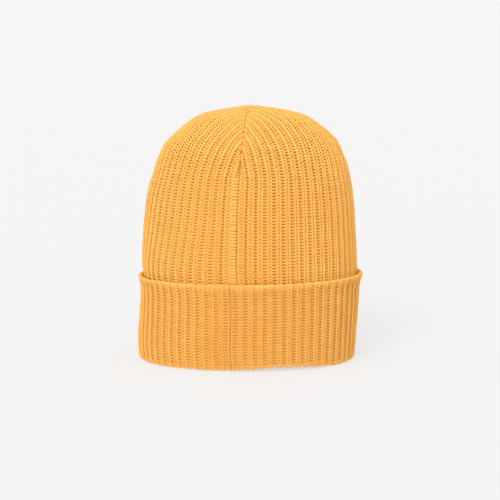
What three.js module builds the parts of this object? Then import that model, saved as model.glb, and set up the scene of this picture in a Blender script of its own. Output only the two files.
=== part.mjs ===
// A fisherman beanie in rib knit: a crown that closes in darts, and a deep cuff turned up round it.
// Millimetres, +Z up. The hat stands on the fold of its cuff, and the origin is on that surface, below
// the middle of the hat. -Y is the back, where the seam is.
import * as THREE from "three";

// The knit
const KNIT_THICKNESS = 2;
const RIB_RELIEF = 1.6; // from the crest of a rib to the furrow beside it
const RIBS_PER_GORE = 16;

// The whole hat, over the crests of its ribs
const HAT_HEIGHT = 208;
const CROWN_WIDTH = 176;
const CROWN_DEPTH = 142;

// Seams and darts
const DART_COUNT = 4;
const DART_DEPTH = 52; // from the top of the hat down to where the darts end
const DART_VALLEY = 1.4;
const VALLEY_RIBS = 1.2; // how far a dart's valley reaches to each side, in ribs
const SEAM_GROOVE = 0.7;
const GROOVE_RIBS = 0.45; // how far the back seam's groove reaches to each side, in ribs
const SEAM_AZIMUTH = -6.9; // degrees from the back, towards +X
const GORE_SWELL = 1.6; // how far the middle of a gore stands out between two darts

// The cuff
const CUFF_HEIGHT = 71;
const CUFF_HEIGHT_RISE = 2.2; // how much higher the hem is at +X than at -X
const CUFF_CLEARANCE = 0.35;
const FOLD_FLAT = 1.8; // width of the strip that the hat rests on
const JOIN_HEIGHT = 7; // where the crown's wall meets the cuff's fold, inside the hat
const JOIN_GAP = 0.3;
const HEM_FLARE = 1.2;
const HEM_FLARE_DEPTH = 9;
const HEM_ROLL = 4; // height of the hem's smooth edge
const SKEW_AT_FOLD = -1.2; // degrees that the turned-up knit has slipped round the hat
const SKEW_AT_HEM = -3.6;

const KNIT_COLOUR = 0xeba745;

const RIB_COUNT = RIBS_PER_GORE * DART_COUNT;
const HALF_KNIT = KNIT_THICKNESS / 2;
const HALF_RELIEF = RIB_RELIEF / 2;
const SKIN = HALF_KNIT + HALF_RELIEF; // from the middle of the knit to the crest of a rib
const LAYER_SPACING = KNIT_THICKNESS + RIB_RELIEF + CUFF_CLEARANCE;

// The middle of the crown's knit, from the table that it rests on to the top. Width and depth are shares
// of the crown's own, lean is the sideways shift of the section's middle as a share of the width.
// The first rows lie behind the cuff, and their rise is a share of the cuff's height.
const CUFFED_SECTIONS = [
  { rise: 0.0, width: 0.957, depth: 0.957, lean: -0.014 },
  { rise: 0.25, width: 0.972, depth: 0.972, lean: -0.013 },
  { rise: 0.62, width: 0.973, depth: 0.973, lean: -0.002 },
  { rise: 0.84, width: 0.976, depth: 0.976, lean: 0.002 },
  { rise: 1.0, width: 0.992, depth: 0.992, lean: 0.002 },
];
// The rise of the other rows is a share of the height from the hem to the top.
const CROWN_SECTIONS = [
  { rise: 0.08, width: 1.0, depth: 1.0, lean: -0.001 },
  { rise: 0.25, width: 0.987, depth: 0.992, lean: -0.001 },
  { rise: 0.44, width: 0.962, depth: 0.974, lean: 0.001 },
  { rise: 0.58, width: 0.922, depth: 0.938, lean: 0.005 },
  { rise: 0.7, width: 0.862, depth: 0.884, lean: 0.008 },
  { rise: 0.8, width: 0.775, depth: 0.81, lean: 0.01 },
  { rise: 0.885, width: 0.636, depth: 0.67, lean: 0.01 },
  { rise: 0.945, width: 0.48, depth: 0.505, lean: 0.007 },
  { rise: 0.985, width: 0.175, depth: 0.2, lean: 0.004 },
  { rise: 1.0, width: 0.0, depth: 0.0, lean: 0.004 },
];

// Where the knit gives way. The place round the hat and its reach are in degrees from the back. The rise
// and its reach are shares of the hat's height, and the depth is a share of the crown's width. A negative
// depth stands out.
const DENTS = [
  { azimuth: -15, rise: 0.385, reachRound: 12, reachUp: 0.1, depth: 0.007 }, // pulled in beside the seam
  { azimuth: -24, rise: 0.404, reachRound: 9, reachUp: 0.11, depth: -0.004 }, // ribs bunched next to it
  { azimuth: -80, rise: 0.745, reachRound: 50, reachUp: 0.072, depth: 0.003 }, // below the left shoulder
  { azimuth: -84, rise: 0.851, reachRound: 40, reachUp: 0.05, depth: -0.0045 }, // the left shoulder
  { azimuth: 86, rise: 0.87, reachRound: 36, reachUp: 0.058, depth: -0.0057 }, // the right shoulder
  { azimuth: 158, rise: 0.567, reachRound: 34, reachUp: 0.21, depth: 0.007 }, // a soft hollow in front
];

// Where the cuff's fold stands off the table. The lift is a share of the cuff's height.
const FOLD_LIFTS = [
  { azimuth: 24, reachRound: 38, lift: 0.031 },
  { azimuth: -142, reachRound: 24, lift: 0.015 },
];

// Sections in millimetres, with one more past the top that mirrors the last but one, so that the crown
// is level at its top.
function bodySections() {
  const top = HAT_HEIGHT - SKIN;
  const section = (row, height) => ({
    height,
    halfWidth: row.width * (CROWN_WIDTH / 2 - SKIN),
    halfDepth: row.depth * (CROWN_DEPTH / 2 - SKIN),
    lean: row.lean * CROWN_WIDTH,
  });
  const rows = [
    ...CUFFED_SECTIONS.map((row) => section(row, row.rise * CUFF_HEIGHT)),
    ...CROWN_SECTIONS.map((row) => section(row, CUFF_HEIGHT + row.rise * (top - CUFF_HEIGHT))),
  ];
  const before = rows[rows.length - 2];
  rows.push({ ...before, halfWidth: -before.halfWidth, halfDepth: -before.halfDepth });
  return rows;
}
const SECTIONS = bodySections();
const TOP = SECTIONS.length - 2; // the row of the crown's top

// A smooth curve through the values before, from, to and after, at the given share of the way.
function smooth(before, from, to, after, share) {
  const rise = (to - before) / 2;
  const fall = (after - from) / 2;
  const square = share * share;
  const cube = square * share;
  return (
    (2 * cube - 3 * square + 1) * from +
    (cube - 2 * square + share) * rise +
    (3 * square - 2 * cube) * to +
    (cube - square) * fall
  );
}

// The section at a place along the rows, where 2.5 is halfway between rows 2 and 3.
function sectionAt(place) {
  const row = Math.min(Math.floor(place), TOP - 1);
  const share = place - row;
  const from = SECTIONS[row];
  const to = SECTIONS[row + 1];
  const before = row > 0 ? SECTIONS[row - 1] : from;
  const after = SECTIONS[row + 2];
  const value = (key) => smooth(before[key], from[key], to[key], after[key], share);
  return {
    height: value("height"),
    halfWidth: value("halfWidth"),
    halfDepth: value("halfDepth"),
    lean: value("lean"),
  };
}

// Places along the rows, with the length of knit from the bottom to each.
const PLACE_STEPS = 40; // per row
function measureRise() {
  const steps = [{ place: 0, length: 0, section: sectionAt(0) }];
  for (let i = 1; i <= TOP * PLACE_STEPS; i++) {
    const last = steps[steps.length - 1];
    const section = sectionAt(i / PLACE_STEPS);
    const run = (section.halfWidth - last.section.halfWidth + section.halfDepth - last.section.halfDepth) / 2;
    const length = last.length + Math.hypot(run, section.height - last.section.height);
    steps.push({ place: i / PLACE_STEPS, length, section });
  }
  return steps;
}
const RISE = measureRise();

// The place where a measure that grows along the rows reaches a value.
function placeWhere(measure, value) {
  const next = RISE.findIndex((step) => measure(step) >= value);
  if (next <= 0) return next < 0 ? TOP : 0;
  const low = measure(RISE[next - 1]);
  const share = (value - low) / (measure(RISE[next]) - low);
  return RISE[next - 1].place + share * (RISE[next].place - RISE[next - 1].place);
}
const placeAtHeight = (height) => placeWhere((step) => step.section.height, height);
const placeAtLength = (length) => placeWhere((step) => step.length, length);
const lengthAt = (place) => {
  const step = Math.min(Math.floor(place * PLACE_STEPS), RISE.length - 2);
  const share = place * PLACE_STEPS - step;
  return RISE[step].length + share * (RISE[step + 1].length - RISE[step].length);
};

// The way round an ellipse of a given depth for its width: its perimeter for a half width of 1, and the
// angle at each share of the perimeter.
const ROUND_STEPS = 240;
const RATIO_STEP = 0.001;
const rounds = new Map();
function measureRound(ratio) {
  const key = Math.round(ratio / RATIO_STEP);
  if (rounds.has(key)) return rounds.get(key);
  const lengths = [0];
  for (let i = 1; i <= ROUND_STEPS; i++) {
    const middle = ((i - 0.5) / ROUND_STEPS) * 2 * Math.PI;
    const step = Math.hypot(Math.cos(middle), key * RATIO_STEP * Math.sin(middle));
    lengths.push(lengths[i - 1] + step * ((2 * Math.PI) / ROUND_STEPS));
  }
  const perimeter = lengths[ROUND_STEPS];
  const shareAtAngle = (angle) => {
    const turn = angle / (2 * Math.PI);
    const whole = Math.floor(turn);
    const at = (turn - whole) * ROUND_STEPS;
    const low = Math.floor(at);
    const high = Math.min(low + 1, ROUND_STEPS);
    return whole + (lengths[low] + (at - low) * (lengths[high] - lengths[low])) / perimeter;
  };
  const angleAtShare = (share) => {
    const whole = Math.floor(share);
    const length = (share - whole) * perimeter;
    let high = 1;
    while (high < ROUND_STEPS && lengths[high] < length) high++;
    const part = (length - lengths[high - 1]) / (lengths[high] - lengths[high - 1]);
    return 2 * Math.PI * (whole + (high - 1 + part) / ROUND_STEPS);
  };
  rounds.set(key, { perimeter, shareAtAngle, angleAtShare });
  return rounds.get(key);
}

const radians = THREE.MathUtils.degToRad;
const DART_END = placeAtHeight(HAT_HEIGHT - DART_DEPTH);
const DART_END_LENGTH = lengthAt(DART_END);
const perimeterAt = (place) => {
  const { halfWidth, halfDepth } = sectionAt(place);
  return halfWidth * measureRound(halfDepth / halfWidth).perimeter;
};
const DART_END_PERIMETER = perimeterAt(DART_END);

// 0 below the darts, growing to 1 along the given length of knit above their ends.
const dartShare = (place, length) =>
  THREE.MathUtils.smoothstep(lengthAt(place) - DART_END_LENGTH, 0, length);

// How much of a dent, lift or groove is left at this share of its reach from its middle.
const fade = (share) => Math.max(1 - share ** 2, 0) ** 2;
const degreesFrom = (azimuth, middle) => THREE.MathUtils.euclideanModulo(azimuth - middle + 180, 360) - 180;

function dentAt(azimuth, height) {
  let depth = 0;
  for (const dent of DENTS) {
    const round = degreesFrom(azimuth, dent.azimuth) / dent.reachRound;
    const up = (height / HAT_HEIGHT - dent.rise) / dent.reachUp;
    depth += dent.depth * fade(Math.hypot(round, up));
  }
  return depth * CROWN_WIDTH;
}

function foldLiftAt(azimuth) {
  let lift = 0;
  for (const row of FOLD_LIFTS) lift += row.lift * fade(degreesFrom(azimuth, row.azimuth) / row.reachRound);
  return lift * CUFF_HEIGHT;
}

// A point on the middle of the knit. Share is the way round from the back seam, skew turns it in degrees,
// and outward moves it off the crown.
function bodyPoint(place, share, skew = 0, outward = 0) {
  const section = sectionAt(place);
  const halfWidth = section.halfWidth + outward;
  const halfDepth = section.halfDepth + outward;
  const round = measureRound(halfDepth / halfWidth);
  const seam = round.shareAtAngle(radians(SEAM_AZIMUTH + skew));
  const angle = round.angleAtShare(seam + share);
  const lobe = Math.cos(2 * Math.PI * share * DART_COUNT);
  const swollen = -GORE_SWELL * lobe * dartShare(place, DART_DEPTH) * (halfWidth / (CROWN_WIDTH / 2));
  const swell = swollen - dentAt(THREE.MathUtils.radToDeg(angle), section.height);
  return new THREE.Vector3(
    section.lean + (halfWidth + swell) * Math.sin(angle),
    -(halfDepth + swell) * Math.cos(angle),
    section.height,
  );
}

// The direction out of the knit at that point.
function bodyNormal(place, share) {
  const reach = 0.05;
  const turn = 0.002;
  const above = Math.min(place + reach, TOP - reach / 2);
  const below = Math.max(above - 2 * reach, 0);
  const up = bodyPoint(above, share).sub(bodyPoint(below, share));
  const right = bodyPoint(place, share + turn).sub(bodyPoint(place, share - turn));
  return right.cross(up).normalize();
}

// Rib waves: 1 on a crest and -1 in a furrow, for a place counted in ribs.
const ribWave = (rib) => -Math.cos(2 * Math.PI * rib);

// The places of the vertices across a row of one gore, in ribs from its middle: the seam on each side, and
// each crest and furrow between them that isn't too close to a seam.
const SEAM_CLEAR = 0.3;
function gorePlaces(halfRibs) {
  const steps = Math.floor(2 * (halfRibs - SEAM_CLEAR));
  const places = Array.from({ length: 2 * steps + 1 }, (_, i) => (i - steps) / 2);
  return [-halfRibs, ...places, halfRibs];
}

// One row of the crown: its gores, each a list of vertices from seam to seam. The last vertex of a gore
// is the first of the next.
function crownRow(place) {
  const perimeter = perimeterAt(place);
  const ribs = place > DART_END ? RIB_COUNT * (perimeter / DART_END_PERIMETER) : RIB_COUNT;
  const halfRibs = ribs / DART_COUNT / 2;
  return Array.from({ length: DART_COUNT }, (_, gore) =>
    gorePlaces(halfRibs).map((rib) => {
      const share = (gore + 0.5 + rib / (2 * halfRibs)) / DART_COUNT;
      const offSeam = halfRibs - Math.abs(rib);
      const atBack = (gore === 0 && rib < 0) || (gore === DART_COUNT - 1 && rib > 0);
      const groove = atBack ? SEAM_GROOVE * fade(offSeam / GROOVE_RIBS) : 0;
      const valley = DART_VALLEY * dartShare(place, DART_DEPTH / 3) * fade(offSeam / VALLEY_RIBS);
      const wave = offSeam === 0 ? -1 : ribWave(rib);
      const lift = HALF_RELIEF * wave - groove - valley;
      const middle = bodyPoint(place, share);
      const normal = bodyNormal(place, share);
      return {
        rib,
        outer: middle.clone().addScaledVector(normal, lift + HALF_KNIT),
        inner: middle.clone().addScaledVector(normal, lift - HALF_KNIT),
      };
    }),
  );
}

// Collects triangles, giving each vertex object one index.
class Skin {
  constructor() {
    this.positions = [];
    this.triangles = [];
  }
  vertex(point) {
    this.positions.push(point.x, point.y, point.z);
    return this.positions.length / 3 - 1;
  }
  // A band between two rows of vertices. Each step goes on along the row whose next rib comes first.
  band(low, high, side) {
    let i = 0;
    let j = 0;
    while (i < low.length - 1 || j < high.length - 1) {
      const lowNext = i < low.length - 1 ? low[i + 1].rib : Infinity;
      const highNext = j < high.length - 1 ? high[j + 1].rib : Infinity;
      const alongLow = i < low.length - 1 && (j === high.length - 1 || lowNext <= highNext + 1e-6);
      const corner = alongLow ? low[i + 1][side] : high[j + 1][side];
      this.triangle(low[i][side], corner, high[j][side], side);
      if (alongLow) i++;
      else j++;
    }
  }
  triangle(a, b, c, side) {
    if (side === "outer") this.triangles.push(a, b, c);
    else this.triangles.push(a, c, b);
  }
  geometry() {
    const geometry = new THREE.BufferGeometry();
    geometry.setAttribute("position", new THREE.Float32BufferAttribute(this.positions, 3));
    geometry.setIndex(this.triangles);
    geometry.computeVertexNormals();
    return geometry;
  }
}

// The heights of the rows in the wall of the crown, and the spacing of those above the darts' ends.
const WALL_ROWS = [0.8, 1.0]; // shares of the cuff's height
const UPPER_ROWS = [0.12, 0.52, 0.8]; // shares of the way from the hem to the darts' ends
const DART_ROW_COUNT = 10;
function crownPlaces() {
  const hem = CUFF_HEIGHT;
  const dartEnd = HAT_HEIGHT - DART_DEPTH;
  const heights = [
    JOIN_HEIGHT + JOIN_GAP,
    ...WALL_ROWS.map((share) => share * hem),
    ...UPPER_ROWS.map((share) => hem + share * (dartEnd - hem)),
  ];
  const dartLength = RISE[RISE.length - 1].length - DART_END_LENGTH;
  const upper = Array.from({ length: DART_ROW_COUNT }, (_, i) =>
    placeAtLength(DART_END_LENGTH + (dartLength * i) / DART_ROW_COUNT),
  );
  return [...heights.map(placeAtHeight), ...upper];
}

function crownGeometry() {
  const skin = new Skin();
  const rows = crownPlaces().map((place) => {
    const gores = crownRow(place);
    for (const gore of gores)
      for (const vertex of gore.slice(0, -1)) {
        vertex.outer = skin.vertex(vertex.outer);
        vertex.inner = skin.vertex(vertex.inner);
      }
    gores.forEach((gore, i) => {
      const next = gores[(i + 1) % DART_COUNT][0];
      const last = gore[gore.length - 1];
      last.outer = next.outer;
      last.inner = next.inner;
    });
    return gores;
  });
  for (let i = 1; i < rows.length; i++)
    for (let gore = 0; gore < DART_COUNT; gore++)
      for (const side of ["outer", "inner"]) skin.band(rows[i - 1][gore], rows[i][gore], side);
  const top = SECTIONS[TOP];
  const tip = (side, lift) => ({
    rib: 0,
    [side]: skin.vertex(new THREE.Vector3(top.lean, 0, top.height - DART_VALLEY + lift)),
  });
  const tips = { outer: tip("outer", HALF_KNIT), inner: tip("inner", -HALF_KNIT) };
  for (const gore of rows[rows.length - 1])
    for (const side of ["outer", "inner"]) skin.band(gore, [tips[side]], side);
  for (const gore of rows[0])
    for (let i = 1; i < gore.length; i++) {
      const [left, right] = [gore[i - 1], gore[i]];
      skin.triangles.push(left.inner, right.inner, right.outer, left.inner, right.outer, left.outer);
    }
  return skin.geometry();
}

// Rows of the cuff's visible and hidden faces, as shares of the way from the fold to the hem, and of points
// round its bends, in degrees from straight out.
const LEG_ROWS = [0.35, 0.75];
const UNDER_FOLD = { within: 222, outside: 318 };
const OVER_HEM = { outside: 20, top: 90, within: 160 };

// The cuff's cross-section as a closed list of points, seen with the crown on the left: down the inside of
// the hat, round the fold, up the visible face, over the hem, down the face that lies on the crown, and
// round within the fold. Each point has its distance out from the crown's wall, its height as a part
// that follows the hem's height and a part that doesn't, the direction in which a crest moves it, how much
// of the ribs' relief it has, and how far the knit there has turned: 0 in the crown, 1 up to 2 in the cuff.
function cuffSection() {
  const radius = LAYER_SPACING / 2;
  const around = radius + HALF_KNIT;
  const within = radius - HALF_KNIT;
  const foldAt = (angle, reach, relief) => ({
    out: radius + reach * Math.cos(radians(angle)),
    up: around + reach * Math.sin(radians(angle)),
    climb: 0,
    rib: { out: -Math.cos(radians(angle)), up: -Math.sin(radians(angle)) },
    relief,
    turned: (angle - 180) / 180,
  });
  const legAt = (climb, side) => ({
    out: LAYER_SPACING + side * HALF_KNIT,
    up: around * (1 - climb) - HALF_KNIT * climb,
    climb,
    rib: { out: -1, up: 0 },
    relief: 1,
    turned: 1 + climb,
  });
  const hemAt = (angle) => ({
    ...legAt(1, 0),
    out: LAYER_SPACING + HALF_KNIT * Math.cos(radians(angle)),
    up: -HALF_KNIT + HALF_KNIT * Math.sin(radians(angle)),
    relief: 0,
  });
  const joinAt = (side) => ({
    out: side * HALF_KNIT,
    up: JOIN_HEIGHT,
    climb: 0,
    rib: { out: 1, up: 0 },
    relief: 1,
    turned: 0,
  });
  const restAt = (side) => ({ ...foldAt(270, around, 0), out: radius + (side * FOLD_FLAT) / 2, up: 0 });
  const legRows = [...LEG_ROWS, 1 - HEM_ROLL / CUFF_HEIGHT];
  return [
    joinAt(-1),
    foldAt(180, around, 1),
    foldAt(UNDER_FOLD.within, around, 0.5),
    restAt(-1),
    restAt(1),
    foldAt(UNDER_FOLD.outside, around, 0.5),
    foldAt(360, around, 1),
    ...legRows.map((climb) => legAt(climb, 1)),
    ...Object.values(OVER_HEM).map(hemAt),
    ...legRows.reverse().map((climb) => legAt(climb, -1)),
    foldAt(360, within, 1),
    foldAt(270, within, 0),
    foldAt(180, within, 1),
    joinAt(1),
  ];
}

// A point of the cuff, for a point of its cross-section and a place counted in ribs from the back seam.
function cuffPoint(point, rib) {
  const share = rib / RIB_COUNT;
  const skew =
    point.turned < 1
      ? SKEW_AT_FOLD * point.turned
      : SKEW_AT_FOLD + (SKEW_AT_HEM - SKEW_AT_FOLD) * (point.turned - 1);
  const angle = 2 * Math.PI * share + radians(SEAM_AZIMUTH);
  const hem = CUFF_HEIGHT + (CUFF_HEIGHT_RISE / 2) * Math.sin(angle);
  const level = point.up + point.climb * hem;
  const settled = 1 - THREE.MathUtils.smoothstep(level, 0, JOIN_HEIGHT);
  const height = level + settled * foldLiftAt(THREE.MathUtils.radToDeg(angle));
  const flare = HEM_FLARE * THREE.MathUtils.smoothstep(height, hem - HEM_FLARE_DEPTH, hem);
  const seam = THREE.MathUtils.lerp(-HALF_RELIEF - SEAM_GROOVE, HALF_RELIEF, Math.min(point.turned, 1));
  const wave = point.relief * (rib === 0 ? seam : HALF_RELIEF * ribWave(rib));
  const placed = bodyPoint(placeAtHeight(height), share, skew, point.out + flare + wave * point.rib.out);
  placed.z = height + wave * point.rib.up;
  return placed;
}

function cuffGeometry() {
  const skin = new Skin();
  const section = cuffSection();
  const columns = Array.from({ length: 2 * RIB_COUNT }, (_, i) =>
    section.map((point) => skin.vertex(cuffPoint(point, i / 2))),
  );
  columns.forEach((column, i) => {
    const right = columns[(i + 1) % columns.length];
    column.forEach((here, j) => {
      const up = (j + 1) % section.length;
      skin.triangles.push(here, right[j], right[up], here, right[up], column[up]);
    });
  });
  return skin.geometry();
}

const knit = () => new THREE.MeshStandardMaterial({ color: KNIT_COLOUR, roughness: 0.95, metalness: 0 });

function piece(name, geometry) {
  const mesh = new THREE.Mesh(geometry, knit());
  mesh.name = name;
  return mesh;
}

const beanie = new THREE.Group();
beanie.name = "beanie";
beanie.add(piece("crown", crownGeometry()), piece("cuff", cuffGeometry()));

export default beanie;
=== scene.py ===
"""A fisherman beanie knitted row by row round its CAD solids. Metres, +Z up, -Y is the back.

Each row of stitches is a tube of yarn that dips and climbs from rib to rib. The rows lie on a ribbed wall,
which closes the knit behind them and makes the inside of the hat.
"""

import math
from collections import namedtuple

import bpy
import numpy as np
from bpy.props import FloatProperty, FloatVectorProperty, IntProperty, PointerProperty
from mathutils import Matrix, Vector


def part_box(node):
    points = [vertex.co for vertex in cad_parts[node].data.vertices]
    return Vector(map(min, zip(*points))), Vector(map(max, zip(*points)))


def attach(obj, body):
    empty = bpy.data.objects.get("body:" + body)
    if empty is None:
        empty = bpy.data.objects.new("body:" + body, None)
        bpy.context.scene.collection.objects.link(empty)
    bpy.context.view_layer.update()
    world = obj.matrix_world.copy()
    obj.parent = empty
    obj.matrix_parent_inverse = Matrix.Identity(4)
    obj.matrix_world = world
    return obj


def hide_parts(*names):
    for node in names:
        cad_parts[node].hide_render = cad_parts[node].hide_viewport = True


bl_info = {
    "name": "Fisherman Beanie",
    "version": (1, 0, 0),
    "blender": (4, 5, 0),
    "location": "3D View > Sidebar > Beanie",
    "description": "Knits a rib beanie with a turned-up cuff round its CAD solids",
    "category": "Object",
}

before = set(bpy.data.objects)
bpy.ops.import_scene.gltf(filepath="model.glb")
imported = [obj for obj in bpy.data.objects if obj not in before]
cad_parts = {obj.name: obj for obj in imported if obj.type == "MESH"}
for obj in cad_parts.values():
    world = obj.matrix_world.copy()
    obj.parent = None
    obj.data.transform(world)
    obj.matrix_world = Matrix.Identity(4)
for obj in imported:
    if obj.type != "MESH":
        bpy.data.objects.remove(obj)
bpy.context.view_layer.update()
BODY = "root"

MM = 0.001
CROWN_LOW, CROWN_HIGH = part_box("crown")
CUFF_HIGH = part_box("cuff")[1]
TINY = 1e-12


class BeanieShape(bpy.types.PropertyGroup):
    """Sizes of the hat that its solids don't give by themselves."""

    rib_relief: FloatProperty(
        name="Rib relief", description="From the crest of a rib to the middle of the knit",
        default=1.8 * MM, unit="LENGTH",
    )
    layer_spacing: FloatProperty(
        name="Layer spacing", description="From the crown's knit to the cuff's, middle to middle",
        default=3.95 * MM, unit="LENGTH",
    )
    hem_slope: FloatProperty(
        name="Hem slope", description="How much higher the cuff's hem is on the +X side than on the other",
        default=2.2 * MM, unit="LENGTH",
    )
    hem_flare: FloatProperty(
        name="Hem flare", description="How far the hem stands off the cuff below it",
        default=1.2 * MM, unit="LENGTH",
    )
    dart_depth: FloatProperty(
        name="Dart depth", description="From the top of the hat down to the ends of the darts",
        default=52 * MM, unit="LENGTH",
    )
    dart_valley: FloatProperty(
        name="Dart valley", description="How deep the knit sinks along a dart",
        default=1.5 * MM, unit="LENGTH",
    )
    gore_swell: FloatProperty(
        name="Gore swell", description="How far the crown stands out halfway between two darts",
        default=1.6 * MM, unit="LENGTH",
    )
    seam_groove: FloatProperty(
        name="Seam groove", description="How deep the back seam pulls the knit in",
        default=2.6 * MM, unit="LENGTH",
    )
    seam_turn: FloatProperty(
        name="Seam turn", description="Where the back seam is, from the middle of the back",
        default=math.radians(-6.9), subtype="ANGLE",
    )
    fold_turn: FloatProperty(
        name="Fold turn", description="How far the turned-up knit has slipped round the hat at the fold",
        default=math.radians(-1.2), subtype="ANGLE",
    )
    hem_turn: FloatProperty(
        name="Hem turn", description="How far the turned-up knit has slipped round the hat at the hem",
        default=math.radians(-3.6), subtype="ANGLE",
    )


class BeanieKnit(bpy.types.PropertyGroup):
    """The yarn and the stitches."""

    ribs: IntProperty(
        name="Ribs", description="Ribs round the hat",
        default=64, min=8,
    )
    seam_rib: FloatProperty(
        name="Seam rib", description="Part of a rib that is left over beside the crown's back seam",
        default=0.43, min=0.0, max=1.0,
    )
    first_rib: FloatProperty(
        name="First rib", description="From the crown's back seam to the middle of the first rib, in ribs",
        default=0.48, min=0.0, max=1.0,
    )
    crown_row: FloatProperty(
        name="Crown row", description="Height of a row of stitches on the crown",
        default=2.5 * MM, unit="LENGTH",
    )
    cuff_row: FloatProperty(
        name="Cuff row", description="Height of a row of stitches on the cuff",
        default=2.4 * MM, unit="LENGTH",
    )
    yarn_radius: FloatProperty(
        name="Yarn radius", description="Half the thickness of the yarn at its thickest",
        default=0.79 * MM, unit="LENGTH",
    )
    stitch_height: FloatProperty(
        name="Stitch height",
        description="From the bottom of a stitch to where its legs turn into the furrow",
        default=2.55 * MM, unit="LENGTH",
    )
    yarn_lift: FloatProperty(
        name="Yarn lift", description="From the middle of the knit to the middle of the yarn on a rib",
        default=1.1 * MM, unit="LENGTH",
    )
    furrow_depth: FloatProperty(
        name="Furrow depth", description="From the yarn on a rib to the yarn in the furrow beside it",
        default=1.5 * MM, unit="LENGTH",
    )
    unevenness: FloatProperty(
        name="Unevenness", description="How far a stitch strays from its place",
        default=0.11 * MM, unit="LENGTH",
    )
    seed: IntProperty(name="Seed", description="Seed of the unevenness", default=5)


class BeanieColours(bpy.types.PropertyGroup):
    """The finish of the yarn, with the painted shade of its gaps, furrows and back seam."""

    yarn: FloatVectorProperty(
        name="Yarn", description="Colour of the yarn",
        default=(0.97, 0.54, 0.135), subtype="COLOR",
    )
    shade: FloatVectorProperty(
        name="Shade", description="Deeper tone that the yarn drifts to",
        default=(0.92, 0.44, 0.085), subtype="COLOR",
    )
    # Painted shade: the gaps between the rows of yarn and the outside of the walls behind them get this dark
    # colour in place of the shade that falls there.
    gap: FloatVectorProperty(
        name="Gap", description="Colour in the gaps between the rows of yarn",
        default=(0.66, 0.31, 0.05), subtype="COLOR",
    )
    # Painted shade: how far the yarn in the furrows is drawn towards the gap's painted shade colour.
    furrow_shade_share: FloatProperty(
        name="Furrow share",
        description="How far the yarn in the furrows goes towards the colour of the gaps",
        default=0.35, min=0.0, max=1.0,
    )
    fluff: FloatVectorProperty(
        name="Fluff", description="Colour of the fine hairs on the yarn",
        default=(1.0, 0.72, 0.36), subtype="COLOR",
    )
    fluff_share: FloatProperty(
        name="Fluff share", description="How much light the fine hairs catch",
        default=0.25, min=0.0, max=1.0,
    )


class BeanieStage(bpy.types.PropertyGroup):
    """The floor, the light and the view."""

    floor_colour: FloatVectorProperty(
        name="Floor colour", description="Colour of the floor",
        default=(0.25, 0.25, 0.25), subtype="COLOR",
    )
    floor_glow: FloatProperty(
        name="Floor glow", description="How brightly the floor shines by itself, as a lit table does",
        default=0.618, min=0.0,
    )
    key_light: FloatProperty(
        name="Key light", description="Strength of the large soft light in front",
        default=2.6, min=0.0,
    )
    sky_light: FloatProperty(
        name="Sky light", description="Strength of the light from all round",
        default=0.75, min=0.0,
    )
    view_rise: FloatProperty(
        name="View rise", description="How far above level the camera looks from",
        default=math.radians(7.2), subtype="ANGLE",
    )
    view_distance: FloatProperty(
        name="View distance", description="From the middle of the hat to the camera",
        default=2.5, unit="LENGTH",
    )
    view_lens: FloatProperty(
        name="View lens", description="Focal length on a sensor 36 mm wide",
        default=220.6, subtype="DISTANCE_CAMERA",
    )


# The middle of the crown's knit from the table to the top, as in the CAD part. Width and depth are shares of
# the crown's, lean is the sideways shift as a share of the width. The rise of the first rows is a share of
# the cuff's height, and that of the others a share of the way from the hem to the top.
Section = namedtuple("Section", "rise width depth lean")
CUFFED_SECTIONS = (
    Section(0.0, 0.957, 0.957, -0.014),
    Section(0.25, 0.972, 0.972, -0.013),
    Section(0.62, 0.973, 0.973, -0.002),
    Section(0.84, 0.976, 0.976, 0.002),
    Section(1.0, 0.992, 0.992, 0.002),
)
CROWN_SECTIONS = (
    Section(0.08, 1.0, 1.0, -0.001),
    Section(0.25, 0.987, 0.992, -0.001),
    Section(0.44, 0.962, 0.974, 0.001),
    Section(0.58, 0.922, 0.938, 0.005),
    Section(0.7, 0.862, 0.884, 0.008),
    Section(0.8, 0.775, 0.81, 0.01),
    Section(0.885, 0.636, 0.67, 0.01),
    Section(0.945, 0.48, 0.505, 0.007),
    Section(0.985, 0.175, 0.2, 0.004),
    Section(1.0, 0.0, 0.0, 0.004),
)

# Where the knit gives way. The place round the hat and its reach are in degrees from the back, the rise and
# its reach are shares of the hat's height, and the depth is a share of the crown's width.
Dent = namedtuple("Dent", "azimuth rise reach_round reach_up depth")
DENTS = (
    Dent(-15, 0.385, 12, 0.1, 0.007),
    Dent(-24, 0.404, 9, 0.11, -0.004),
    Dent(-80, 0.745, 50, 0.072, 0.003),
    Dent(-84, 0.851, 40, 0.05, -0.0045),
    Dent(86, 0.87, 36, 0.058, -0.0057),
    Dent(158, 0.567, 34, 0.21, 0.007),
)

# Where the cuff's fold stands off the table. The lift is a share of the cuff's height.
FoldLift = namedtuple("FoldLift", "azimuth reach_round lift")
FOLD_LIFTS = (FoldLift(24, 38, 0.031), FoldLift(-142, 24, 0.015))

DARTS = 4
DART_GROWTH = 1 / 3  # share of the darts' depth over which their valleys deepen
VALLEY_REACH = 1.2  # ribs to each side
TIP_REACH = 7 * MM  # from the top, where the last stitches are drawn together
TIP_SHARE = 0.8  # how far the wall rises to them
TOP_REACH = (3 * MM, 18 * MM)  # from the top, where the darts' valleys run out
LAST_ROW = 0.012  # from the top to where the last row may lie, in sections
LAST_RING = 0.04  # from the top to the last ring of the wall, in sections
PAST_DART = 0.04  # how far past a dart the knit goes, in sections
PAST_GORE = 0.3  # ribs past its darts that are worked out with a gore
GROOVE_REACH = 0.22  # ribs to each side
FLAT_REACH = 1.0  # ribs to the left of the back seam where the knit lies flat
FLAT_SHARE = 0.75  # how much of the furrow there is gone
FLAT_GROWTH = 0.45  # how much fuller the yarn is there
SEAM_CLEARANCE = 0.03  # ribs beside the ends of a row without a bend
SEAM_FURROW = 0.1  # ribs beside a dart where the wall is as deep as in a furrow
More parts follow.
